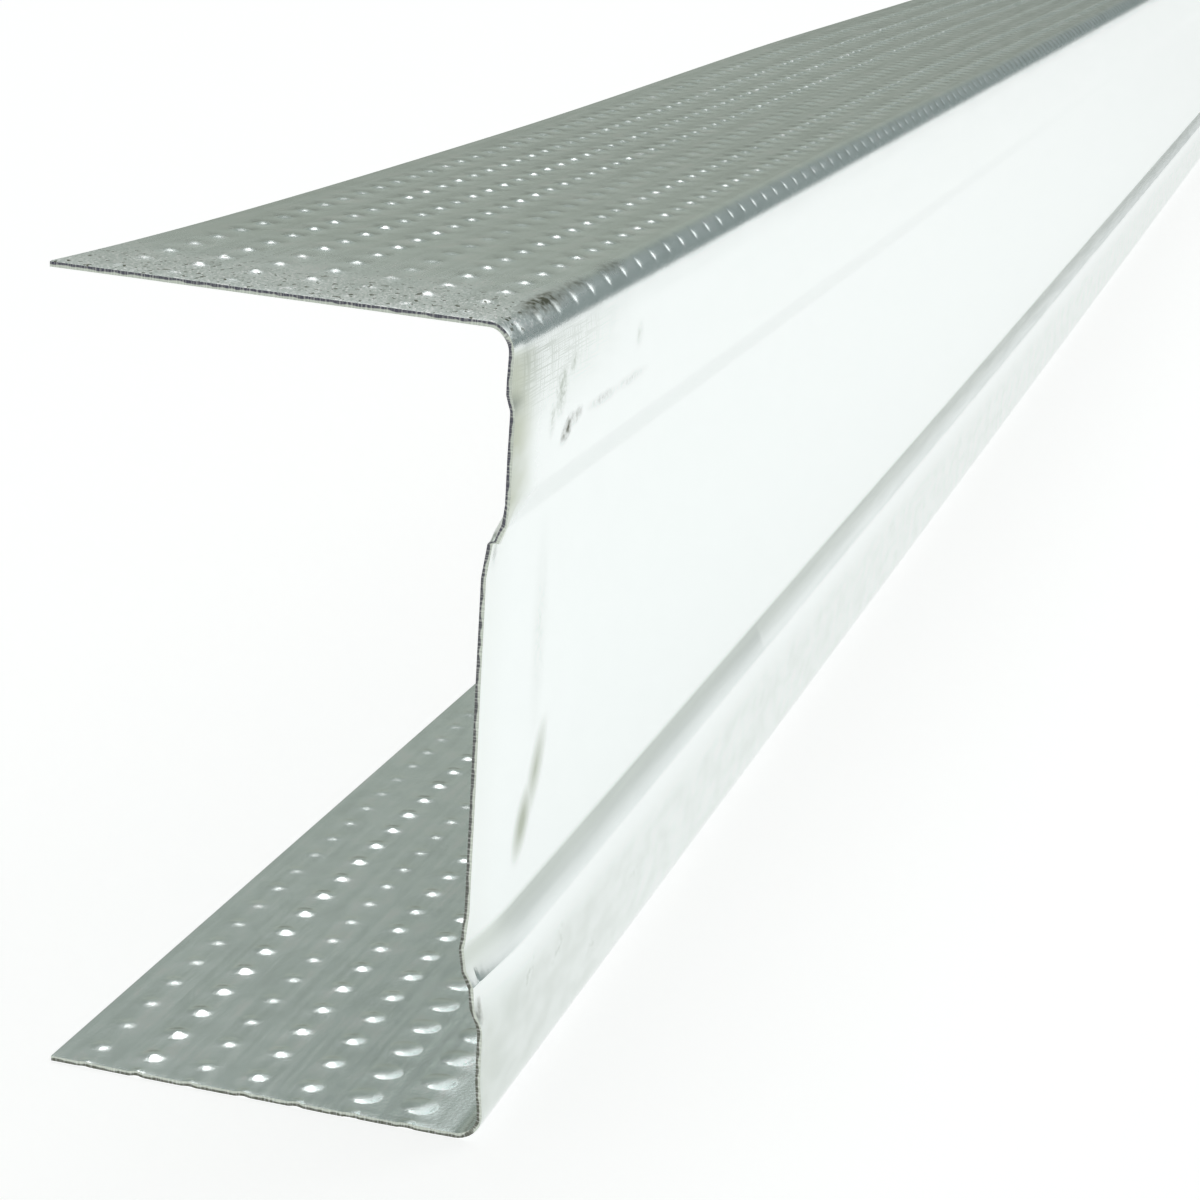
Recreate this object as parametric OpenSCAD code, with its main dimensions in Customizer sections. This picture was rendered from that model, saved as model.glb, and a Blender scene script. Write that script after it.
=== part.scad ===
// Roll-formed steel track (floor and ceiling runner) for a drywall partition, cut square
// at both ends. The length runs along X. The web stands upright with its outer face
// toward -Y, both flanges point toward +Y, and the lower flange lies on the floor.

/* [Track] */
// Length of the piece of stock
track_length = 3000; // [300:10:6000]
// Height over the web, from the outer face of one flange to that of the other
web_height = 70; // [50:1:150]
// Width of a flange, from the web's outer face to the cut lip
flange_width = 40; // [25:1:60]
// Thickness of the zinc-coated sheet
sheet_thickness = 0.5; // [0.4:0.05:0.9]
// Radius on the inside of the two corner bends
corner_radius = 2; // [0.8:0.1:3]
// How far the lip of the upper flange has sprung up from square
lip_rise = 1; // [0:0.1:3]

/* [Stiffening recess in the web] */
// Depth of the recessed panel below the web's outer face
recess_depth = 1.6; // [1:0.1:3]
// Width of the flat strip left beside each flange, from the flange's outer face
edge_strip = 14; // [8:0.5:18]
// Height taken by the slope between a strip and the panel
slope_height = 3.8; // [3:0.1:6]
// Radius on the inside of the bends at both ends of a slope
slope_radius = 0.8; // [0.5:0.1:1]

/* [Hidden] */
$fn = 96;

// Outer radius of a corner bend, which is also how far its centre lies from both faces
corner_outer = corner_radius + sheet_thickness;
slope_outer = slope_radius + sheet_thickness;
// Height at which a slope ends and the recessed panel begins
panel_foot = edge_strip + slope_height;
// Lean of a slope that steps in by recess_depth over slope_height between two equal bends
bends_across = slope_radius + slope_outer;
slope_lean = atan2(slope_height, bends_across - recess_depth)
    - acos(bends_across / norm([slope_height, bends_across - recess_depth]));

// Points along an arc of the given centre and radius, between two directions in degrees
function arc(centre, radius, from, to, steps = 6) =
    [for (step = [0:steps])
        let (angle = from + (to - from) * step / steps)
        centre + radius * [cos(angle), sin(angle)]];

// A quarter-round bend of the sheet, which fills the corner nearest the local origin
module corner_bend() {
    intersection() {
        translate([corner_outer, corner_outer]) difference() {
            circle(corner_outer);
            circle(corner_radius);
        }
        square(corner_outer);
    }
}

// The sheet between an edge strip and the panel, which bends in, leans and bends back
module slope() {
    foot = [slope_outer, edge_strip];
    head = [recess_depth - slope_radius, panel_foot];
    polygon(concat(
        arc(foot, slope_radius, 180, 180 - slope_lean),
        arc(head, slope_outer, -slope_lean, 0),
        arc(head, slope_radius, 0, -slope_lean),
        arc(foot, slope_outer, 180 - slope_lean, 180)));
}

// One side of the section's web, from the corner bend to the foot of the panel
module web_side() {
    corner_bend();
    translate([0, corner_outer]) square([sheet_thickness, edge_strip - corner_outer]);
    slope();
}

// The recessed panel between the two sides of the web
module panel() {
    translate([recess_depth, panel_foot])
        square([sheet_thickness, web_height - 2 * panel_foot]);
}

// A flange from its corner bend to its lip, which lies higher by the given rise
module flange(rise) {
    polygon([[corner_outer, 0], [flange_width, rise],
        [flange_width, rise + sheet_thickness], [corner_outer, sheet_thickness]]);
}

// The whole section, with the web's outer face on the left and the floor at the bottom
module section() {
    web_side();
    panel();
    translate([0, web_height]) mirror([0, 1]) web_side();
    flange(0);
    translate([0, web_height - sheet_thickness]) flange(lip_rise);
}

// The track, one strip of sheet bent to its section and cut to length
module track() {
    color("gainsboro")
        rotate([90, 0, 90])
            linear_extrude(track_length, center = true)
                translate([-flange_width / 2, 0])
                    section();
}

track();
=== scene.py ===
import math

import bpy
import numpy as np
from mathutils import Matrix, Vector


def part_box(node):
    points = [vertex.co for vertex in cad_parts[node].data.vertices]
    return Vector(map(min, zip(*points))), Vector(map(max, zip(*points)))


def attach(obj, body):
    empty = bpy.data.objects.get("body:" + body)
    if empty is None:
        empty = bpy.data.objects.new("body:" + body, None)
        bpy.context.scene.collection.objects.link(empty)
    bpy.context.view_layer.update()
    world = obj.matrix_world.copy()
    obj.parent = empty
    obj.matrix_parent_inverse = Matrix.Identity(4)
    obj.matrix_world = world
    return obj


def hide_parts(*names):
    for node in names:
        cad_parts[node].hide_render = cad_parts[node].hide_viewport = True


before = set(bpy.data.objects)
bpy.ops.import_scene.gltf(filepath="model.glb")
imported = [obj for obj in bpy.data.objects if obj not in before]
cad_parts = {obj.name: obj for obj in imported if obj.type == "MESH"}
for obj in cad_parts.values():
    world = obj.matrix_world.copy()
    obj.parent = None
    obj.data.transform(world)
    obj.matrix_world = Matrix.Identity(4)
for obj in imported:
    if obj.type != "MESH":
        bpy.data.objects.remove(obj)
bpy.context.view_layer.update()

MM = 0.001

# The section's own sizes, as the solid track has them
SHEET = 0.5 * MM
CORNER_RADIUS = 2.0 * MM
CAD_LIP_RISE = 1.0 * MM
EDGE_STRIP = 14.0 * MM
SLOPE_HEIGHT = 3.8 * MM
SLOPE_RADIUS = 0.8 * MM
RECESS_DEPTH = 1.6 * MM

# How far the upper lip stands above square: the rise that the section is drawn with, a flare
# at each cut that dies out along its reach, a dip behind it, and a spring further in
LIP_RISE = 0.2 * MM
LIP_FLARE = 1.16 * MM
FLARE_REACH = 32.0 * MM
LIP_DIP = 0.4 * MM
LIP_SPRING = 1.05 * MM
SPRING_START = 110 * MM
SPRING_REACH = 170 * MM

low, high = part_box("track")
LENGTH = high.x - low.x
FLANGE = high.y - low.y
WEB = high.z - low.z - CAD_LIP_RISE

# The dimples lie on a square grid, in tiles of one dimple each
PITCH = 5.0 * MM
COLUMNS = 600
DIMPLE_ROWS = 7
DIMPLE_RADIUS = 1.2 * MM
DIMPLE_HEIGHT = 0.27 * MM
# Where each flange's first whole column of tiles starts, from the near end, and where its
# first row of tiles starts, from the lip. A cut column comes before the whole ones.
LOWER_START = 1.1 * MM
UPPER_START = 5.1 * MM
LOWER_MARGIN = 0.7 * MM
UPPER_MARGIN = 2.2 * MM
# A dimple that the shear went through is smaller and was pressed flatter
CUT_DIMPLE_RADIUS = 0.8 * MM
CUT_DIMPLE_SHARE = 0.6

# The cross dents in the corner bends lie a little past the middle, on the flange's side
DENT_HALF_WIDTH = 0.6 * MM
DENT_HALF_LENGTH = 0.55 * MM
DENT_DEPTH = 0.11 * MM
DENT_FADE = 0.4 * MM
DENT_OFFSET = 0.2 * MM

# How far below the upper bend the web begins to lean into it, and how far the bend then
# cuts its corner
EASING = 1.8 * MM
EASING_DEPTH = 0.28 * MM

# Where the web's part of the mesh meets each flange's, measured from the end of the bend
LOWER_SEAM = 0.5 * MM
UPPER_SEAM = 0.15 * MM

# The waves that rolling leaves in the web, and how far from the bends they begin
SWAY_DEPTH = 0.10 * MM
SWAY_MARGIN = 12 * MM

# The sheared ends: the narrow last band of the mesh, the edge that the blade rolled over,
# which is less on the inner side, and how far in the cut line's straying is felt
EDGE_BAND = 0.3 * MM
ROLLOVER_BAND = 0.1 * MM
ROLLOVER = 0.05 * MM
INNER_ROLLOVER = 0.3
WAVER_REACH = 2.4 * MM

# Faces that meet at more than this many degrees keep a sharp edge
SHARP_ANGLE = 40

# Two places along the track or across the sheet are the same within this distance
SAME = 1e-7
# The inner side of the sheet takes its grain from this much further along and across
GRAIN_SHIFT = 300 * MM


# ---------------------------------------------------------------------------------------
# The bent sheet
# ---------------------------------------------------------------------------------------

class BentSheet:
    """The middle surface of the sheet in the section plane, as straight runs and bends."""

    def __init__(self, start, heading):
        self.starts = [0.0]
        self.places = [np.array(start)]
        self.headings = [heading]
        self.turns = []

    def run(self, length, turn=0.0):
        """Adds a run of this length that turns left by this angle in radians."""
        rate = turn / length
        self.turns.append(rate)
        place = self.places[-1] + self._along(length, self.headings[-1], rate)
        self.places.append(place)
        self.headings.append(self.headings[-1] + turn)
        self.starts.append(self.starts[-1] + length)
        return self

    @staticmethod
    def _along(distance, heading, rate):
        bent = np.abs(rate) > 1e-9
        safe = np.where(bent, rate, 1.0)
        end = heading + rate * distance
        y = np.where(bent, (np.sin(end) - np.sin(heading)) / safe, distance * np.cos(heading))
        z = np.where(bent, (np.cos(heading) - np.cos(end)) / safe, distance * np.sin(heading))
        return np.stack([y, z], axis=-1)

    def place(self, s, lift):
        """Y and Z of points at these distances along the sheet, lifted off its middle surface."""
        starts = np.array(self.starts)
        run = np.clip(np.searchsorted(starts, s, side="right") - 1, 0, len(self.turns) - 1)
        distance = s - starts[run]
        heading = np.array(self.headings)[run]
        rate = np.array(self.turns)[run]
        spot = np.array(self.places)[run] + self._along(distance, heading, rate)
        angle = heading + rate * distance
        outward = np.stack([-np.sin(angle), np.cos(angle)], axis=-1)
        return spot + outward * np.asarray(lift)[..., None]


def slope_shape():
    """The lean of the slope beside the recessed panel, and the straight run on it."""
    across = 2 * SLOPE_RADIUS + SHEET
    rest = across - RECESS_DEPTH
    lean = math.atan2(SLOPE_HEIGHT, rest) - math.acos(across / math.hypot(SLOPE_HEIGHT, rest))
    return lean, (SLOPE_HEIGHT - across * math.sin(lean)) / math.cos(lean)


def track_section():
    """The track's section from the lower lip, round the web, to the upper lip."""
    corner = CORNER_RADIUS + SHEET / 2
    bend = SLOPE_RADIUS + SHEET / 2
    flat = FLANGE - CORNER_RADIUS - SHEET
    strip = EDGE_STRIP - CORNER_RADIUS - SHEET
    panel = WEB - 2 * (EDGE_STRIP + SLOPE_HEIGHT)
    lean, slope = slope_shape()
    rise = math.atan2(LIP_RISE, flat)
    sheet = BentSheet((high.y, low.z + SHEET / 2), math.pi)
    sheet.run(flat).run(corner * math.pi / 2, -math.pi / 2).run(strip)
    sheet.run(bend * lean, -lean).run(slope).run(bend * lean, lean).run(panel)
    sheet.run(bend * lean, lean).run(slope).run(bend * lean, -lean).run(strip)
    corner_turn = math.pi / 2 - rise
    sheet.run(corner * corner_turn, -corner_turn).run(flat)
    return sheet


SECTION = track_section()
# Distances across the sheet at which its runs begin, from the lower lip to the upper one
LOWER_LIP, LOWER_BEND, LOWER_STRIP = SECTION.starts[:3]
UPPER_STRIP, UPPER_BEND, UPPER_FLAT, UPPER_LIP = SECTION.starts[-4:]
HEIGHT_STEPS = np.linspace(LOWER_BEND, UPPER_FLAT, 800)
MIDDLE_LINE = SECTION.place(HEIGHT_STEPS, np.zeros_like(HEIGHT_STEPS))
HEIGHTS = MIDDLE_LINE[:, 1] - low.z
DEPTHS = MIDDLE_LINE[:, 0] - low.y - SHEET / 2


def web_height(s):
    """Height above the floor of the web at this distance across the sheet."""
    return np.interp(s, HEIGHT_STEPS, HEIGHTS)


def web_depth(s):
    """How far the web lies behind the plane of its two edge strips at this distance."""
    return np.interp(s, HEIGHT_STEPS, DEPTHS)


# ---------------------------------------------------------------------------------------
# The sheet's surface as a flat pattern: X along the track, S across the unrolled sheet
# ---------------------------------------------------------------------------------------

def rounded(t):
    """Rises smoothly from 0 to 1 as t does."""
    t = np.clip(t, 0.0, 1.0)
    return t * t * (3 - 2 * t)


def along(step, s):
    """Distance from the near end of a point this many columns along the pattern. The two
    flanges' columns are out of step, and the web's slant between them."""
    blend = np.clip((s - LOWER_STRIP) / (UPPER_BEND - LOWER_STRIP), 0.0, 1.0)
    start = LOWER_START + (UPPER_START - LOWER_START) * blend
    whole = start + step * (LENGTH - EDGE_BAND - start) / (COLUMNS - 1)
    cut = EDGE_BAND + (start - EDGE_BAND) * (1 + step)
    return np.where(step < 0, cut, whole)


def dimple_tile(segments, rings):
    """One dimple in its square. Vertices 0 to 3 are the square's corners, then come the
    rings from the rim inwards, then the middle. Returns each inner vertex as angle and
    share of the radius, and the triangles."""
    angles = math.pi / 2 + np.arange(segments) * 2 * math.pi / segments
    points = [(a, r) for r in rings for a in angles] + [(0.0, 0.0)]
    corners = np.radians([225, 315, 45, 135])

    def ring(k, i):
        return 4 + k * segments + i % segments

    # The corner that faces each side of the rim. Of two that face it alike, the later one.
    settle = 1e-6 * np.arange(4)
    nearest = [int(np.argmax(np.cos(corners - a - math.pi / segments) + settle))
               for a in angles]
    middle = 4 + len(rings) * segments
    triangles = []
    for i in range(segments):
        following = nearest[(i + 1) % segments]
        triangles.append((ring(0, i), nearest[i], ring(0, i + 1)))
        if following != nearest[i]:
            triangles.append((ring(0, i + 1), nearest[i], following))
        for k in range(len(rings) - 1):
            triangles.append((ring(k, i), ring(k, i + 1), ring(k + 1, i + 1)))
            triangles.append((ring(k, i), ring(k + 1, i + 1), ring(k + 1, i)))
        inner = len(rings) - 1
        triangles.append((ring(inner, i), ring(inner, i + 1), middle))
    return np.array(points), np.array(triangles)


class Pattern:
    """Gathers the vertices and faces of one surface of the sheet in X and S."""

    def __init__(self):
        self.x, self.s, self.lift, self.faces = [], [], [], []
        self.count = 0

    def add(self, x, s, lift=0.0):
        """Adds vertices of any array shape and returns their numbers in that shape."""
        x, s, lift = np.broadcast_arrays(x, s, lift)
        for store, values in ((self.x, x), (self.s, s), (self.lift, lift)):
            store.append(values.ravel())
        numbers = self.count + np.arange(x.size).reshape(x.shape)
        self.count += x.size
        return numbers

    def cover(self, *corners):
        """Adds faces, whose corners are arrays of vertex numbers of one shape."""
        self.faces.append(np.stack(np.broadcast_arrays(*corners), axis=-1)
                          .reshape(-1, len(corners)))

    def grid(self, numbers):
        """Covers a grid of vertices, numbered [x, s], with quads."""
        self.cover(numbers[:-1, :-1], numbers[1:, :-1], numbers[1:, 1:], numbers[:-1, 1:])


# How deep each row of dimples was pressed and how wide it is, from the lip inwards. The
# last two rows of the lower flange were flattened into wide shallow ones.
LOWER_ROWS = {"depth": (0.46, 0.92, 0.52, 0.74, 0.72, 0.46, 0.48),
              "width": (1.1, 1.25, 1.1, 1.2, 1.2, 1.4, 1.45),
              "flatness": (0.0, 0.0, 0.0, 0.0, 0.1, 0.55, 0.6)}
UPPER_ROWS = {"depth": (0.85, 1.0, 1.0, 1.0, 0.6, 0.95, 0.9),
              "width": (1.0, 1.0, 1.0, 1.0, 0.95, 1.0, 1.0),
              "flatness": (0.0,) * 7}


def roller_wear(columns, upper):
    """How much of its full depth each dimple has, for every column and row of a flange."""
    every = np.random.default_rng(21 if upper else 20).uniform(0.84, 1.04,
                                                               (COLUMNS, DIMPLE_ROWS))
    return every[columns + 1]


def dimpled_flange(pattern, columns, upper, detail):
    """One flange with its dimples, raised towards +Z. Returns its line next to the bend."""
    margin = UPPER_MARGIN if upper else LOWER_MARGIN
    lines = np.append(0.0, margin + PITCH * np.arange(DIMPLE_ROWS + 1))
    s_lines = UPPER_LIP - lines if upper else lines
    edges = np.append(columns, columns[-1] + 1)
    lattice = pattern.add(along(edges[:, None], s_lines[None, :]), s_lines[None, :])

    points, triangles = dimple_tile(detail["segments"], detail["rings"])
    centre_s = s_lines[1:-1] + (-0.5 if upper else 0.5) * PITCH
    centre_x = along(columns[:, None] + 0.5, centre_s[None, :])
    rows = UPPER_ROWS if upper else LOWER_ROWS
    radius = np.broadcast_to(np.array(rows["width"]) * DIMPLE_RADIUS, centre_x.shape).copy()
    at_cut = columns[0] < 0
    if at_cut:
        centre_x[0] = UPPER_START - PITCH / 2 if upper else EDGE_BAND
        if not upper:
            radius[0] = CUT_DIMPLE_RADIUS
    share = points[:, 1]
    flatness = np.array(rows["flatness"])[None, :, None]
    reach = radius[..., None] * np.where(share > 0, flatness + (1 - flatness) * share, 0.0)
    x = centre_x[..., None] + reach * np.cos(points[:, 0])
    s = centre_s[None, :, None] + reach * np.sin(points[:, 0])
    crown = 0.5 + 0.5 * np.cos(math.pi * share)
    depth = np.array(rows["depth"]) * roller_wear(columns, upper)
    if at_cut:
        depth[0] *= CUT_DIMPLE_SHARE
    lift = depth[..., None] * crown * DIMPLE_HEIGHT
    inner = pattern.add(x, s, lift if upper else -lift)

    sides = [lattice[:-1, 1:-1], lattice[1:, 1:-1], lattice[1:, 2:], lattice[:-1, 2:]]
    if upper:
        sides = [sides[k] for k in (3, 2, 1, 0)]
    tile = np.concatenate([np.stack(sides, axis=-1), inner], axis=-1)
    pattern.cover(*(tile[:, :, triangles[:, k]] for k in range(3)))
    pattern.grid(lattice[:, 1::-1] if upper else lattice[:, :2])
    return lattice[:, -1]


def web_lines(steps):
    """Distances across the sheet at which the web and both bends have vertices, with this
    many steps to each bend, strip, slope bend, slope and panel."""
    bend, strip, slope_bend, slope, panel = steps
    half = (bend, strip, slope_bend, slope, slope_bend)
    counts = half + (panel,) + half[::-1]
    lines = [LOWER_BEND - LOWER_SEAM]
    for a, b, n in zip(SECTION.starts[1:], SECTION.starts[2:], counts):
        lines.extend(a + (b - a) * np.arange(n) / n)
        # A strip in few steps has extra lines where the web leans into the upper bend
        if a == UPPER_STRIP and (b - a) / n > EASING:
            lines.extend(b - EASING * np.array([1.0, 0.67, 0.33]))
    return np.array(lines + [UPPER_FLAT, UPPER_FLAT + UPPER_SEAM])


def bend_dents(x, s):
    """The row of narrow cross dents that the roller presses into each corner bend. A
    dent's bed runs straight across the bend instead of round it."""
    lift = 0.0
    for a, b, start, share in ((LOWER_BEND, LOWER_STRIP, LOWER_START, 0.35),
                               (UPPER_BEND, UPPER_FLAT, UPPER_START, 1.0)):
        off = np.abs((x - start) / PITCH % 1.0 - 0.5) * PITCH
        across = np.clip(1.0 - off / DENT_HALF_WIDTH, 0.0, 1.0)
        from_bed = np.abs(s - (a + b) / 2 - DENT_OFFSET)
        ends = rounded((DENT_HALF_LENGTH + DENT_FADE / 2 - from_bed) / DENT_FADE)
        sagitta = (DENT_HALF_LENGTH ** 2 - from_bed ** 2) / (2 * (CORNER_RADIUS + SHEET))
        depth = DENT_DEPTH + 0.5 * np.maximum(sagitta, 0.0)
        lift = lift - share * across * ends * depth
    return lift


def eased_bend(s):
    """The upper bend begins gently on the web's side, and cuts its corner a little."""
    start, end = UPPER_BEND - EASING, UPPER_FLAT + UPPER_SEAM
    share = np.clip((s - start) / (end - start), 0.0, 1.0)
    return -EASING_DEPTH * np.sin(math.pi * share) ** 2


def web_sway(x, s):
    """Long shallow waves that rolling leaves in the panel, always inwards."""
    inside = rounded((s - LOWER_STRIP) / SWAY_MARGIN) * rounded((UPPER_BEND - s) / SWAY_MARGIN)
    wave = 0.5 + 0.28 * np.sin(x / 0.071 + 0.8) + 0.22 * np.sin(x / 0.043 + s / 0.02 + 2.1)
    return -SWAY_DEPTH * inside * wave


def bell(z, centre, width):
    """1 at a height, falling softly to 0 on both sides of it."""
    return np.exp(-((z - centre) / width) ** 2)


def shelf(z, foot, head, softness):
    """1 between two heights, falling softly to 0 outside them."""
    return rounded((z - foot) / softness) * rounded((head - z) / softness)


# Where the shear pushed the web in, or out where the push is negative: the push, its
# profile over the height and that profile's sizes, how far in along the track it reaches,
# and how much lower it lies for each mm along. All sizes are in mm.
SHEAR_PUSHES = ((0.80, shelf, (10.0, 18.8, 2.6), 13.0, 0.2),
                (0.22, bell, (15.1, 2.0), 5.0, 0.2),
                (-1.30, bell, (53.3, 1.0), 3.0, 0.0),
                (-0.30, shelf, (54.2, 64.4, 1.6), 3.5, 0.0),
                (0.42, shelf, (61.4, 68.8, 3.2), 3.5, 0.0))


def shear_dents(x, s):
    """How far the shear pushed the web out or in at the near end."""
    x, z = x / MM, web_height(s) / MM
    # The whole web below the upper slope leans in, more so towards the floor
    inwards = 0.30 * shelf(z, 2.0, 55.0, 4.0) * rounded(1 - z / 90.0) * rounded(1 - x / 10.0)
    for push, profile, sizes, reach, sag in SHEAR_PUSHES:
        inwards += push * profile(z + sag * x, *sizes) * rounded(1 - x / reach)
    # Nothing is pushed out past the plane of the two edge strips
    return -np.maximum(inwards * MM, -web_depth(s))


def sheet_pattern(columns, detail):
    """One surface of a stretch of the track, in X and S with its faces."""
    pattern = Pattern()
    lower = dimpled_flange(pattern, columns, False, detail)
    upper = dimpled_flange(pattern, columns, True, detail)
    offsets = np.array(detail["offsets"]) / (PITCH / MM) + 0.5
    steps = np.append((columns[:, None] + offsets).ravel(), columns[-1] + 1)
    step, s = np.meshgrid(steps, web_lines(detail["steps"]), indexing="ij")
    x = along(step, s)
    shape = bend_dents(x, s) + web_sway(x, s) + eased_bend(s) + shear_dents(x, s)
    body = pattern.add(x, s, shape)
    pattern.grid(body)
    # The seams, where the web's close lines meet each flange's wide tiles
    n = len(offsets)
    half = n // 2
    for flange, side, upper_side in ((lower, body[:, 0], False), (upper, body[:, -1], True)):
        left, right = flange[:-1], flange[1:]
        for k in range(n):
            a, b = side[k:-1:n], side[k + 1::n]
            corner = left if k < half else right
            pattern.cover(*((corner, a, b) if upper_side else (corner, b, a)))
        middle = side[half:-1:n]
        pattern.cover(*((left, middle, right) if upper_side else (left, right, middle)))
    return pattern


# ---------------------------------------------------------------------------------------
# Meshes
# ---------------------------------------------------------------------------------------

def chain(values, order, at):
    """Numbers of the vertices whose first value is at, sorted by the second."""
    found = np.flatnonzero(np.abs(values - at) < SAME)
    return found[np.argsort(order[found], kind="stable")]


def shear_waver(s):
    """How far the cut edge strays inwards from square, along the unrolled sheet."""
    u = s / MM
    wave = np.sin(u * 0.37 + 0.4) + 0.6 * np.sin(u * 1.3 + 1.9) + 0.4 * np.sin(u * 3.1)
    return (0.07 + 0.03 * wave) * MM


def trimmed_pattern(columns, detail):
    """The stretch's vertices and faces, with what lies beyond the cut ends taken off."""
    pattern = sheet_pattern(columns, detail)
    x, s, lift = (np.concatenate(v) for v in (pattern.x, pattern.s, pattern.lift))
    near, far = EDGE_BAND, LENGTH - EDGE_BAND
    x = np.where(x < near + SAME, near, np.where(x > far - SAME, far, x))
    faces = []
    for group in pattern.faces:
        beyond = (x[group] == near).all(axis=1) | (x[group] == far).all(axis=1)
        faces.append(group[~beyond])
    used = np.zeros(len(x), bool)
    for group in faces:
        used[group] = True
    renumber = np.cumsum(used) - 1
    faces = [renumber[group] for group in faces]
    x, s, lift = x[used], s[used], lift[used]

    # The last narrow band before each sheared end
    for is_end, inner_x, steps in (
            (columns[0] < 0, near, (ROLLOVER_BAND, 0.0)),
            (columns[-1] == COLUMNS - 2, far, (LENGTH - ROLLOVER_BAND, LENGTH))):
        if not is_end:
            continue
        line = chain(x, s, inner_x)
        for at in steps:
            following = len(x) + np.arange(len(line))
            x = np.append(x, np.full(len(line), at))
            s, lift = np.append(s, s[line]), np.append(lift, lift[line])
            a, b, c, d = line[:-1], line[1:], following[1:], following[:-1]
            quad = (a, b, c, d) if at < inner_x else (d, c, b, a)
            faces.append(np.stack(quad, axis=-1))
            line = following
    return x, s, lift, faces


def flare(x, s):
    """How far the upper flange stands above its section, from the bend out to the lip."""
    share = np.clip((s - UPPER_FLAT) / (UPPER_LIP - UPPER_FLAT), 0.0, 1.0)
    from_end = np.minimum(x, LENGTH - x)
    sprung = LIP_SPRING * rounded((from_end - SPRING_START) / SPRING_REACH)
    return share * (LIP_FLARE * np.exp(-from_end / FLARE_REACH) + sprung - LIP_DIP)


def build_piece(name, columns, detail, materials):
    """A stretch of the track as one closed mesh of real thickness."""
    x, s, lift, faces = trimmed_pattern(columns, detail)
    count = len(x)
    near_end, far_end = x.min() == 0.0, x.max() == LENGTH
    from_end = np.minimum(x, LENGTH - x)
    on_web = rounded((s - LOWER_BEND) / (LOWER_STRIP - LOWER_BEND)) * rounded(
        (UPPER_FLAT - s) / (UPPER_FLAT - UPPER_BEND))
    rollover = ROLLOVER * rounded(1 - from_end / EDGE_BAND)
    outer = SECTION.place(s, lift + SHEET / 2 - rollover)
    inner = SECTION.place(s, lift - SHEET / 2 + rollover * INNER_ROLLOVER)
    # The two cuts stray in different places
    place_x = x + shear_waver(s) * rounded(1.0 - x / WAVER_REACH)
    place_x -= shear_waver(s + 9 * MM) * rounded(1.0 - (LENGTH - x) / WAVER_REACH)
    rise = np.column_stack([np.zeros(count), flare(x, s)])
    points = np.concatenate([np.column_stack([place_x + low.x, side + rise])
                             for side in (outer, inner)])
    polygons = [(group, 0) for group in faces]
    polygons += [(group[:, ::-1] + count, 0) for group in faces]

    # Both lips and both ends close the sheet between its outer and inner side
    for at, flip in ((LOWER_LIP, True), (UPPER_LIP, False)):
        line = chain(s, x, at)
        a, b = line[:-1], line[1:]
        quad = (a, a + count, b + count, b) if flip else (a, b, b + count, a + count)
        polygons.append((np.stack(quad, axis=-1), 1))
    for at, is_end, flip in ((x.min(), near_end, False), (x.max(), far_end, True)):
        line = end_line(x, s, at, columns, is_end, flip)
        a, b = line[:-1], line[1:]
        quad = np.stack((a, b, b + count, a + count), axis=-1)
        polygons.append((quad[:, ::-1] if flip else quad, 1 if is_end else 0))

    piece = make_mesh(name, points, polygons, materials)
    shift = np.repeat([0.0, GRAIN_SHIFT], count)
    pattern = np.column_stack([np.tile(x, 2), np.tile(s, 2), shift])
    give(piece, "flat_pattern", "FLOAT_VECTOR", "vector", pattern / MM)
    tear = np.concatenate([1 - on_web, on_web])
    give(piece, "torn_side", "FLOAT", "value", tear)
    return piece


def end_line(x, s, at, columns, is_end, far):
    """The vertices along one end of a stretch, in order across the sheet."""
    if is_end:
        return chain(x, s, at)
    edge = along(float(columns[-1] + 1 if far else columns[0]), s)
    found = np.flatnonzero(np.abs(x - edge) < SAME)
    return found[np.argsort(s[found], kind="stable")]


def give(piece, name, kind, field, values):
    """Stores a value on every vertex of the piece under a name that materials can read."""
    attribute = piece.data.attributes.new(name, kind, "POINT")
    attribute.data.foreach_set(field, values.astype(np.float32).ravel())


def make_mesh(name, points, polygons, materials):
    """A mesh object from points and groups of faces with their material slot."""
    polygons = [(group, slot) for group, slot in polygons if len(group)]
    mesh = bpy.data.meshes.new(name)
    loops = np.concatenate([group.ravel() for group, _ in polygons]).astype(np.int32)
    sizes = np.concatenate([np.full(len(g), g.shape[1]) for g, _ in polygons])
    slots = np.concatenate([np.full(len(g), slot) for g, slot in polygons])
    mesh.vertices.add(len(points))
    mesh.vertices.foreach_set("co", points.astype(np.float32).ravel())
    mesh.loops.add(len(loops))
    mesh.loops.foreach_set("vertex_index", loops)
    mesh.polygons.add(len(sizes))
    starts = np.concatenate([[0], np.cumsum(sizes)[:-1]]).astype(np.int32)
    mesh.polygons.foreach_set("loop_start", starts)
    mesh.polygons.foreach_set("material_index", slots.astype(np.int32))
    for material in materials:
        mesh.materials.append(material)
    mesh.update(calc_edges=True)
    mesh.shade_smooth()
    mesh.set_sharp_from_angle(angle=math.radians(SHARP_ANGLE))
    piece = bpy.data.objects.new(name, mesh)
    bpy.context.scene.collection.objects.link(piece)
    return piece


# ---------------------------------------------------------------------------------------
# Materials
# ---------------------------------------------------------------------------------------

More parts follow.
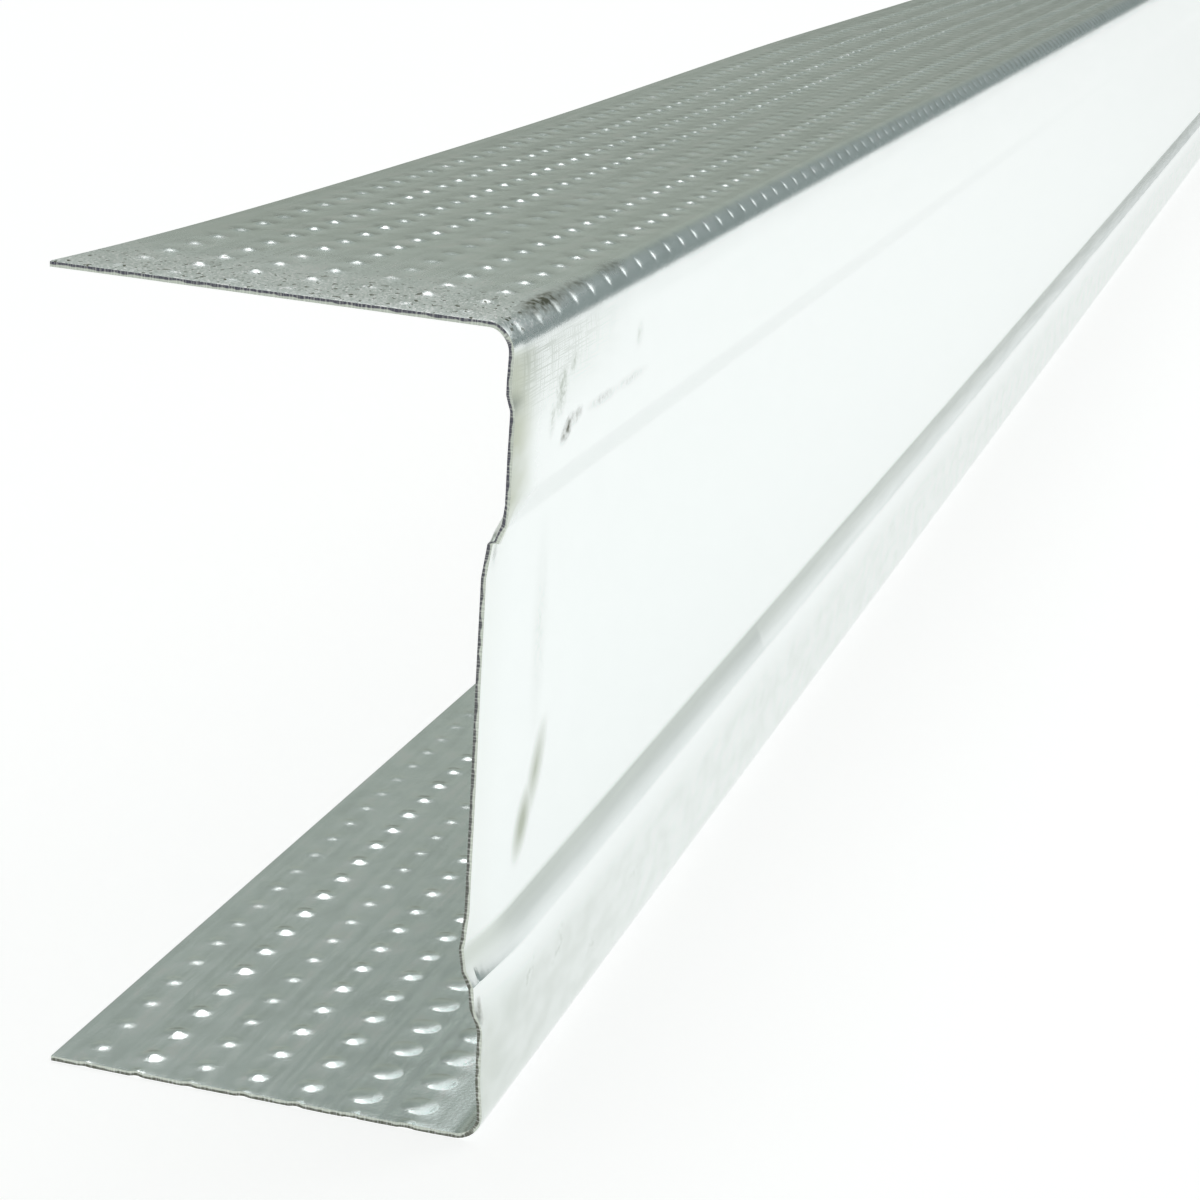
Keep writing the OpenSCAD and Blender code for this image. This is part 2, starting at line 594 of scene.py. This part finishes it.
class Tree:
    """Places and joins the nodes of one material, world or node group."""

    def __init__(self, tree):
        self.tree = tree

    def add(self, kind, inputs=None, **settings):
        """A node of this kind. Each input is another node's output or a plain value."""
        node = self.tree.nodes.new("ShaderNode" + kind)
        for name, value in settings.items():
            setattr(node, name, value)
        for name, value in (inputs or {}).items():
            if isinstance(value, bpy.types.NodeSocket):
                self.tree.links.new(value, node.inputs[name])
            else:
                node.inputs[name].default_value = value
        return node

    def math(self, operation, *values, clamp=False):
        """The result of this operation on these values."""
        inputs = dict(enumerate(values))
        return self.add("Math", inputs, operation=operation, use_clamp=clamp).outputs[0]

    def product(self, *values):
        """All of these values multiplied together."""
        result = values[0]
        for value in values[1:]:
            result = self.math("MULTIPLY", result, value)
        return result

    def ramp(self, value, start, end, low=0.0, high=1.0):
        """Goes smoothly from low to high as the value goes from start to end."""
        inputs = {"Value": value, "From Min": start, "From Max": end, "To Min": low,
                  "To Max": high}
        return self.add("MapRange", inputs, interpolation_type="SMOOTHSTEP").outputs[0]

    def mix(self, factor, first, second):
        """The first colour where the factor is 0, and the second where it is 1."""
        return self.add("Mix", {0: factor, 6: first, 7: second}, data_type="RGBA").outputs[2]

    def place(self, group, **inputs):
        """Places a node group. Inputs go by their names, with _ for a space."""
        node = self.tree.nodes.new("ShaderNodeGroup")
        node.node_tree = group
        for name, value in inputs.items():
            socket = node.inputs[name.replace("_", " ")]
            if isinstance(value, bpy.types.NodeSocket):
                self.tree.links.new(value, socket)
            else:
                socket.default_value = value
        return node.outputs[0]


def node_group(name, inputs, output, fill):
    """A shader node group. Inputs are names with their plain values, or None for a vector."""
    group = bpy.data.node_groups.new(name, "ShaderNodeTree")
    for label, value in inputs.items():
        kind = "NodeSocketVector" if value is None else "NodeSocketFloat"
        socket = group.interface.new_socket(label, in_out="INPUT", socket_type=kind)
        if value is not None:
            socket.default_value = value
    group.interface.new_socket(output, in_out="OUTPUT", socket_type="NodeSocketFloat")
    start = group.nodes.new("NodeGroupInput")
    end = group.nodes.new("NodeGroupOutput")
    group.links.new(fill(Tree(group), start.outputs), end.inputs[0])
    return group


def fill_grain(tree, given):
    """Soft grain from 0 to 1, with these sizes along the track and across the sheet."""
    size = tree.add("CombineXYZ", {0: given["Along"], 1: given["Across"], 2: given["Across"]})
    spot = tree.add("VectorMath", {0: given["Pattern"], 1: size.outputs[0]}, operation="DIVIDE")
    noise = tree.add("TexNoise", {"Vector": spot.outputs[0], "Scale": 1.0, "Detail": 1.6,
                                  "Roughness": 0.6}, noise_dimensions="2D")
    return tree.ramp(noise.outputs[0], 0.24, 0.76)


def fill_mark(tree, given):
    """An oval patch, from its strength in the middle evenly down to 0 at its rim."""
    centre = tree.add("CombineXYZ", {0: given["X"], 1: given["S"]})
    turn = tree.add("CombineXYZ", {2: given["Turn"]})
    size = tree.add("CombineXYZ", {0: given["Half Length"], 1: given["Half Width"], 2: 1.0})
    oval = tree.add("Mapping", {"Vector": given["Pattern"], "Location": centre.outputs[0],
                                "Rotation": turn.outputs[0], "Scale": size.outputs[0]},
                    vector_type="TEXTURE")
    reach = tree.add("VectorMath", {0: oval.outputs[0]}, operation="LENGTH")
    inside = tree.math("SUBTRACT", 1.0, reach.outputs["Value"])
    return tree.math("MULTIPLY", inside, given["Strength"])


def fill_near_cut(tree, given):
    """1 at either sheared end, falling smoothly to 0 at this reach from it."""
    part = tree.add("SeparateXYZ", {0: given["Pattern"]})
    from_far = tree.math("SUBTRACT", LENGTH / MM, part.outputs["X"])
    nearest = tree.math("MINIMUM", part.outputs["X"], from_far)
    return tree.ramp(tree.math("DIVIDE", nearest, given["Reach"]), 1.0, 0.0)


# The web's foot and head, and heights on it, as distances across the sheet in mm
WEB_FOOT, WEB_HEAD = LOWER_STRIP / MM, UPPER_BEND / MM


def across_sheet(height):
    """Distance across the unrolled sheet, in mm, of the web at this height in mm."""
    return float(np.interp(height * MM, HEIGHTS, HEIGHT_STEPS)) / MM


def fill_on_web(tree, given):
    """1 on the web, falling to 0 where the corner bends begin."""
    s = tree.add("SeparateXYZ", {0: given["Pattern"]}).outputs["Y"]
    return tree.product(tree.ramp(s, WEB_FOOT - 1.0, WEB_FOOT + 0.5),
                        tree.ramp(s, WEB_HEAD + 0.8, WEB_HEAD - 0.6))


def fill_on_upper(tree, given):
    """1 on the upper flange, falling to 0 in its bend."""
    s = tree.add("SeparateXYZ", {0: given["Pattern"]}).outputs["Y"]
    return tree.ramp(s, WEB_HEAD, WEB_HEAD + 3.0)


def fill_shade(tree, given):
    """How light the zinc is, about 1. All its grain is stronger on the flanges."""
    flange = given["Flange"]
    shade = 1.0
    for grain, amount in (("Speckle", tree.product(given["Coarseness"], flange)),
                          ("Streaks", tree.math("MULTIPLY_ADD", flange, 0.03, 0.01)),
                          ("Blotches", tree.math("MULTIPLY_ADD", flange, 0.09, 0.012))):
        centred = tree.math("SUBTRACT", given[grain], 0.5)
        shade = tree.math("MULTIPLY_ADD", centred, amount, shade)
    return shade


def fill_film_and_shade(tree, given):
    """Grey on the lower strip, partly a blotchy grey-green film and partly painted shade where
    the strip mirrors the floor in the track's shadow; along the lower slope a band of painted
    shade.
    """
    s = tree.add("SeparateXYZ", {0: given["Pattern"]}).outputs["Y"]
    # On the lower strip: a blotchy grey-green film, partly painted shade of the floor in the
    # track's shadow, which the strip mirrors
    strip = tree.product(tree.ramp(s, WEB_FOOT - 2.0, WEB_FOOT),
                         tree.ramp(s, WEB_FOOT + 11.5, WEB_FOOT + 7.0))
    # Painted shade: an even dark band along the lower slope, the whole length of the track
    slope = tree.product(tree.ramp(s, across_sheet(14.6), across_sheet(17.0)),
                         tree.ramp(s, across_sheet(18.1), across_sheet(17.2)), 0.62)
    uneven = tree.math("MULTIPLY_ADD", given["Blotches"], 0.20, given["Greyness"])
    return tree.math("MAXIMUM", slope, tree.product(strip, uneven))


def fill_pits(tree, given):
    """Fine pits that the rollers leave in the zinc."""
    return tree.add("TexNoise", {"Vector": given["Pattern"], "Scale": 3.2, "Detail": 0.0},
                    noise_dimensions="2D").outputs[0]


GRAIN = node_group("rolled_grain", {"Pattern": None, "Along": 1.0, "Across": 1.0},
                   "Value", fill_grain)
MARK = node_group("handling_mark", {"Pattern": None, "X": 0.0, "S": 0.0, "Turn": 0.0,
                                    "Half Length": 1.0, "Half Width": 1.0, "Strength": 1.0},
                  "Mask", fill_mark)
NEAR_CUT = node_group("near_the_cut", {"Pattern": None, "Reach": 10.0}, "Mask",
                      fill_near_cut)
ON_WEB = node_group("on_the_web", {"Pattern": None}, "Mask", fill_on_web)
ON_UPPER = node_group("on_the_upper_flange", {"Pattern": None}, "Mask", fill_on_upper)
SHADE = node_group("zinc_shade", {"Speckle": 0.5, "Streaks": 0.5, "Blotches": 0.5,
                                  "Coarseness": 0.06, "Flange": 1.0}, "Shade", fill_shade)
FILM_AND_SHADE = node_group("strip_film_and_shade", {"Pattern": None, "Blotches": 0.5, "Greyness": 0.16},
                  "Mask", fill_film_and_shade)
PITS = node_group("roller_pits", {"Pattern": None}, "Height", fill_pits)

# Sizes in mm of the zinc's grain, of the raggedness of marks on it and of scratches
SPECKLE = {"Along": 0.34, "Across": 0.26}
STREAKS = {"Along": 22.0, "Across": 0.9}
BLOTCHES = {"Along": 5.5, "Across": 3.0}
RAGGEDNESS = {"Along": 0.9, "Across": 0.7}
SCRATCHES_ALONG = {"Along": 6.0, "Across": 0.18}
SCRATCHES_UP = {"Along": 0.22, "Across": 6.0}

# What colours the zinc and the bare steel
BARE_ZINC = (0.93, 0.975, 0.968)
# The grey of the film, scratches and rubs, and of the painted shade low on the web and under the
# upper bend
GREY_FILM_AND_SHADE = (0.50, 0.555, 0.50, 1.0)
CREAM_BLOOM = (0.68, 0.72, 0.61, 1.0)
OLIVE_RUN = (0.40, 0.45, 0.355, 1.0)
BROWN_DIRT = (0.13, 0.135, 0.095, 1.0)
CUT_STEEL = ((0.52, 0.56, 0.50, 1.0), (0.78, 0.83, 0.75, 1.0))
TORN_STEEL = ((0.13, 0.14, 0.11, 1.0), (0.10, 0.10, 0.13, 1.0))
BRIGHT_NICK = (0.46, 0.47, 0.46, 1.0)

# Dirt pressed into the sheet, olive runs down the panel and grey rubs: distance from the
# cut, height, turn in degrees, half length, half width and strength. Sizes are in mm.
DIRT = ((14.6, 58.8, 25, 2.4, 1.1, 0.8), (17.3, 59.4, 10, 2.0, 0.8, 0.45),
        (25.0, 59.4, 0, 5.5, 0.7, 0.26), (33.5, 59.5, 1, 7.0, 0.7, 0.18),
        (0.6, 11.9, 70, 1.3, 1.0, 0.7), (11.5, 69.67, 0, 8.5, 1.5, 1.0),
        (20.0, 69.67, 0, 6.0, 1.1, 0.65), (31.0, 69.67, 0, 5.0, 1.0, 0.60))
RUNS = ((15.8, 28.2, 62, 5.2, 2.3, 0.95), (12.5, 24.3, 58, 4.2, 2.4, 1.25))
RUBS = ((35.9, 63.2, 80, 1.6, 1.6, 0.40), (12.4, 62.8, 75, 3.0, 2.2, 1.0),
        (15.3, 64.4, 60, 1.6, 1.2, 0.8), (10.2, 60.6, 80, 2.0, 1.2, 0.6),
        (14.9, 41.0, 90, 11.0, 2.6, 0.22),
        (12.0, 10.6, 30, 3.4, 2.2, 0.55), (20.4, 9.8, 40, 4.6, 2.6, 0.50),
        (32.0, 5.6, 20, 6.0, 3.0, 0.45), (46.0, 7.4, 10, 7.0, 2.4, 0.35))


def strongest(tree, pattern, marks):
    """The mask of the strongest of many marks at each spot."""
    total = 0.0
    for x, height, turn, half_length, half_width, strength in marks:
        mark = tree.place(MARK, Pattern=pattern, X=x, S=across_sheet(height),
                          Turn=math.radians(turn), Half_Length=half_length,
                          Half_Width=half_width, Strength=strength)
        total = tree.math("MAXIMUM", total, mark)
    return total


def metal(name, roughness):
    """A new material, with its tree, its shader and the flat pattern's place in mm."""
    material = bpy.data.materials.new(name)
    material.use_nodes = True
    shader = material.node_tree.nodes["Principled BSDF"]
    shader.inputs["Metallic"].default_value = 1.0
    shader.inputs["Roughness"].default_value = roughness
    tree = Tree(material.node_tree)
    pattern = tree.add("Attribute", attribute_name="flat_pattern").outputs["Vector"]
    return material, tree, shader, pattern


def galvanised_sheet(name, at_end):
    """Zinc-coated sheet: bright on the web, scuffed by the rollers on the flanges, with painted
    shade on the lower strip and along the lower slope. A stretch at an end of the track also
    carries what shearing and handling left there, and painted shade under the upper bend."""
    material, tree, shader, pattern = metal(name, 0.24)
    part = tree.add("SeparateXYZ", {0: pattern}).outputs
    # The inner side of the sheet has its own grain
    shift = tree.add("CombineXYZ", {0: part["Z"], 1: part["Z"]})
    place = tree.add("VectorMath", {0: pattern, 1: shift.outputs[0]}, operation="ADD").outputs[0]
    web = tree.place(ON_WEB, Pattern=pattern)
    flange = tree.math("SUBTRACT", 1.0, web)
    upper = tree.place(ON_UPPER, Pattern=pattern)

    def near(reach):
        return tree.place(NEAR_CUT, Pattern=pattern, Reach=reach)

    # How strong the speckle is, and how grey the lower strip is (film and painted shade), which
    # both grow toward a cut end
    coarse, strip_greyness = 0.06, 0.16
    if at_end:
        coarse = tree.math("MULTIPLY_ADD", tree.product(near(22.0), upper), 0.30, coarse)
        strip_greyness = tree.math("MULTIPLY_ADD", near(60.0), 0.22, strip_greyness)

    # Fine speckle, streaks along the rolling and slow blotches
    speckle = tree.place(GRAIN, Pattern=place, **SPECKLE)
    streaks = tree.place(GRAIN, Pattern=place, **STREAKS)
    blotches = tree.place(GRAIN, Pattern=place, **BLOTCHES)
    shade = tree.place(SHADE, Speckle=speckle, Streaks=streaks, Blotches=blotches,
                       Coarseness=coarse, Flange=flange)
    colour = tree.add("VectorMath", {0: BARE_ZINC, "Scale": shade},
                      operation="SCALE").outputs[0]
    rough = tree.math("MULTIPLY_ADD", tree.math("SUBTRACT", streaks, 0.5), 0.03, 0.23)

    # Grey: film and painted shade on the lower strip, painted shade on its slope, and at a cut
    # end scratches, painted shade under the upper bend, and rubs
    film_and_shade = tree.place(FILM_AND_SHADE, Pattern=pattern, Blotches=blotches, Greyness=strip_greyness)
    if at_end:
        ragged = tree.place(GRAIN, Pattern=place, **RAGGEDNESS)
        broken = tree.math("MULTIPLY_ADD", ragged, 1.1, 0.45)
        hatched_and_shaded = hatching_and_shade(tree, place, part["Y"], tree.product(web, near(40.0)))
        rubs = tree.math("MULTIPLY", strongest(tree, pattern, RUBS), broken, clamp=True)
        film_and_shade = tree.math("MAXIMUM", film_and_shade, tree.math("MAXIMUM", hatched_and_shaded, rubs))
    colour = tree.mix(film_and_shade, colour, GREY_FILM_AND_SHADE)

    if at_end:
        # Cream bloom along the web's cut edge, most of it above the recessed panel
        above = tree.ramp(part["Y"], across_sheet(50.0), across_sheet(56.0), 0.12, 1.0)
        bloom = tree.product(web, above, near(7.0),
                             tree.math("MULTIPLY_ADD", blotches, 0.5, 0.55))
        colour = tree.mix(bloom, colour, CREAM_BLOOM)

        # An olive run down the panel, spots of dirt and specks by the cut
        runs = strongest(tree, pattern, RUNS)
        colour = tree.mix(runs, colour, OLIVE_RUN)
        specks = tree.product(upper, tree.ramp(ragged, 0.88, 0.96), near(26.0))
        spots = tree.math("MULTIPLY", strongest(tree, pattern, DIRT), broken)
        dirt = tree.math("MAXIMUM", specks, spots, clamp=True)
        colour = tree.mix(dirt, colour, BROWN_DIRT)

        # The cut ends are duller, and dirt is dull everywhere
        flecks = tree.product(tree.ramp(speckle, 0.72, 0.95), near(18.0))
        worn = tree.product(upper, tree.math("MULTIPLY_ADD", flecks, 0.3,
                                             tree.math("MULTIPLY", near(34.0), 0.095)))
        worn_web = tree.product(web, above, near(9.0), 0.22)
        rough = tree.math("ADD", rough, tree.math("ADD", worn, worn_web))
        rough = tree.math("MULTIPLY_ADD", dirt, 0.25, rough, clamp=True)
    tree.tree.links.new(colour, shader.inputs["Base Color"])
    tree.tree.links.new(rough, shader.inputs["Roughness"])

    bump = tree.add("Bump", {"Strength": tree.math("MULTIPLY_ADD", flange, 0.25, 0.05),
                             "Distance": 0.016 * MM,
                             "Height": tree.place(PITS, Pattern=place)})
    tree.tree.links.new(bump.outputs["Normal"], shader.inputs["Normal"])
    return material


def hatching_and_shade(tree, place, s, where):
    """Fine scratches in both directions on the web below the upper bend, over an even painted
    shade there.
    """
    along_track = tree.place(GRAIN, Pattern=place, **SCRATCHES_ALONG)
    up_web = tree.place(GRAIN, Pattern=place, **SCRATCHES_UP)
    scratches = tree.math("MAXIMUM", tree.ramp(along_track, 0.4, 0.9),
                          tree.ramp(up_web, 0.45, 0.95))
    below_bend = tree.product(tree.ramp(s, WEB_HEAD - 8.0, WEB_HEAD - 1.5), where)
    # A quarter of the strength, with scratches or without, is painted shade under the upper bend
    return tree.product(below_bend, tree.math("MULTIPLY_ADD", scratches, 0.5, 0.25))


def sheared_edge():
    """Bare steel: smooth grey where the blade cut it, darker where it tore."""
    material, tree, shader, pattern = metal("sheared_edge", 0.42)
    torn = tree.add("Attribute", attribute_name="torn_side").outputs["Fac"]
    wander = tree.place(GRAIN, Pattern=pattern, Along=1.6, Across=1.6)
    dark = tree.ramp(tree.math("MULTIPLY_ADD", wander, 0.35, torn), 0.55, 0.75)
    speckle = tree.place(GRAIN, Pattern=pattern, Along=0.2, Across=0.2)
    cut = tree.mix(speckle, *CUT_STEEL)
    height = tree.add("SeparateXYZ", {0: pattern}).outputs["Y"]
    tone = tree.mix(tree.ramp(height, WEB_FOOT, WEB_HEAD), *TORN_STEEL)
    nicks = tree.ramp(speckle, 0.35, 0.95, high=0.85)
    torn_steel = tree.mix(nicks, tone, BRIGHT_NICK)
    colour = tree.mix(dark, cut, torn_steel)
    tree.tree.links.new(colour, shader.inputs["Base Color"])
    rough = tree.math("MULTIPLY_ADD", speckle, 0.2, 0.34)
    tree.tree.links.new(rough, shader.inputs["Roughness"])
    return material


EDGE = sheared_edge()
END_MATERIALS = (galvanised_sheet("galvanised_sheet_at_end", True), EDGE)
MATERIALS = (galvanised_sheet("galvanised_sheet", False), EDGE)


# ---------------------------------------------------------------------------------------
# The track in stretches, the finest one at the near end
# ---------------------------------------------------------------------------------------

# Each level of detail gives a dimple's segments and its rings as shares of its radius, the
# steps to each bend, strip, slope bend, slope and panel, and where the web's lines stand, in
# mm from the dents' middles
CLOSE = {"segments": 14, "rings": (1.0, 0.8, 0.55, 0.28), "steps": (10, 18, 4, 2, 12),
         "offsets": (-2.5, -1.4, -0.6, -0.3, 0.0, 0.3, 0.6, 1.4)}
NEAR = {"segments": 10, "rings": (1.0, 0.7, 0.35), "steps": (8, 3, 3, 1, 4),
        "offsets": (-2.5, -0.6, -0.3, 0.0, 0.3, 0.6)}
MIDDLE = {"segments": 8, "rings": (1.0, 0.7, 0.35), "steps": (6, 2, 3, 1, 3),
          "offsets": (-2.5, -0.6, 0.0, 0.6)}
PLAIN = {"segments": 6, "rings": (1.0, 0.5), "steps": (4, 2, 2, 1, 2),
         "offsets": (-2.5, 0.0)}

STRETCHES = ((-1, 20, CLOSE), (20, 50, NEAR), (50, 140, MIDDLE),
             (140, 293, PLAIN), (293, 446, PLAIN), (446, COLUMNS - 1, PLAIN))
for number, (first, last, detail) in enumerate(STRETCHES, 1):
    at_end = number in (1, len(STRETCHES))
    materials = END_MATERIALS if at_end else MATERIALS
    piece = build_piece(f"track_{number}", np.arange(first, last), detail, materials)
    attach(piece, "root")
    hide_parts("track")


# ---------------------------------------------------------------------------------------
# Floor, light and camera
# ---------------------------------------------------------------------------------------

FLOOR_HALF_SIZE = 60.0
FLOOR_GREY = (0.5, 0.5, 0.5, 1.0)
FLOOR_GLOW = 0.735

# The room's walls from the horizon to the zenith: the height as a sine, the brightness, and
# the shares of red and blue in it
ROOM = ((0.0, 0.07, 0.92, 0.86), (0.07, 0.11, 0.92, 0.86), (0.15, 0.375, 0.90, 0.86),
        (0.22, 0.395, 0.90, 0.88), (0.45, 0.26, 0.85, 0.91), (0.78, 0.27, 0.93, 0.95),
        (0.90, 0.78, 0.98, 0.98))
CORNER_SHADE = (0.23, 0.27, 0.265, 1.0)
CORNER_HEIGHT, CORNER_BEARING = 12, -28

# The camera's place from the track's lower corner at the near end, and its turns in degrees
CAMERA_PLACE = (-0.1991, -0.0627, 0.1096)
CAMERA_HEADING, CAMERA_DIP, CAMERA_ROLL = 15.46, 16.38, 3.32


def white_floor():
    """A plain floor that looks white and still takes the track's shadow."""
    size = FLOOR_HALF_SIZE
    mesh = bpy.data.meshes.new("floor")
    corners = [(-size, -size, low.z), (size, -size, low.z), (size, size, low.z),
               (-size, size, low.z)]
    mesh.from_pydata(corners, [], [(0, 1, 2, 3)])
    floor = bpy.data.objects.new("floor", mesh)
    bpy.context.scene.collection.objects.link(floor)
    material = bpy.data.materials.new("white_floor")
    material.use_nodes = True
    material.node_tree.nodes.clear()
    tree = Tree(material.node_tree)
    diffuse = tree.add("BsdfDiffuse", {"Color": FLOOR_GREY})
    path = tree.add("LightPath")
    seen = tree.math("ADD", path.outputs["Is Camera Ray"], path.outputs["Is Glossy Ray"])
    seen = tree.math("ADD", seen, path.outputs["Is Transmission Ray"], clamp=True)
    glow = tree.add("Emission", {"Strength": tree.math("MULTIPLY", seen, FLOOR_GLOW)})
    both = tree.add("AddShader", {0: diffuse.outputs[0], 1: glow.outputs[0]})
    tree.add("OutputMaterial", {"Surface": both.outputs[0]})
    mesh.materials.append(material)


def sun(name, power, spread, height, bearing):
    """A distant soft light. Height and bearing are where it stands, in degrees."""
    data = bpy.data.lights.new(name, "SUN")
    data.energy = power
    data.angle = math.radians(spread)
    lamp = bpy.data.objects.new(name, data)
    bpy.context.scene.collection.objects.link(lamp)
    lamp.matrix_world = (Matrix.Rotation(math.radians(bearing + 90), 4, "Z")
                         @ Matrix.Rotation(math.radians(90 - height), 4, "X"))


def direction(height, bearing):
    """The way to a place in the sky, from its height and bearing in degrees."""
    height, bearing = math.radians(height), math.radians(bearing)
    return (math.cos(height) * math.cos(bearing), math.cos(height) * math.sin(bearing),
            math.sin(height))


def studio_room():
    """A plain room that is dim near the horizon and darker still in one corner."""
    world = bpy.data.worlds.new("studio_room")
    bpy.context.scene.world = world
    world.use_nodes = True
    world.node_tree.nodes.clear()
    tree = Tree(world.node_tree)
    way = tree.add("TexCoord").outputs["Generated"]
    height = tree.add("SeparateXYZ", {0: way}).outputs["Z"]
    walls = tree.add("ValToRGB", {0: height})
    elements = walls.color_ramp.elements
    while len(elements) < len(ROOM):
        elements.new(0.5)
    for element, (position, level, red, blue) in zip(elements, ROOM):
        element.position = position
        element.color = (level * red, level, level * blue, 1.0)
    middle = direction(CORNER_HEIGHT, CORNER_BEARING)
    toward = tree.add("VectorMath", {0: way, 1: middle}, operation="DOT_PRODUCT")
    corner = tree.ramp(toward.outputs["Value"], 0.80, 0.94)
    colour = tree.mix(corner, walls.outputs[0], CORNER_SHADE)
    back = tree.add("Background", {"Color": colour})
    tree.add("OutputWorld", {"Surface": back.outputs[0]})


def camera():
    """A long lens near the cut end, a little above the upper flange."""
    data = bpy.data.cameras.new("camera")
    data.sensor_width = 36.0
    data.lens = 82.29
    data.clip_start = 0.005
    data.clip_end = 100.0
    viewer = bpy.data.objects.new("camera", data)
    bpy.context.scene.collection.objects.link(viewer)
    bpy.context.scene.camera = viewer
    place = Matrix.Translation([a + b for a, b in zip(low, CAMERA_PLACE)])
    viewer.matrix_world = (
        place @ Matrix.Rotation(math.radians(CAMERA_HEADING - 90), 4, "Z")
        @ Matrix.Rotation(math.radians(90 - CAMERA_DIP), 4, "X")
        @ Matrix.Rotation(math.radians(CAMERA_ROLL), 4, "Z"))


white_floor()
studio_room()
sun("key_light", 0.32, 22, 50, 19)
sun("fill_light", 0.22, 30, 34, -35)
camera()
bpy.context.scene.view_settings.view_transform = "Standard"
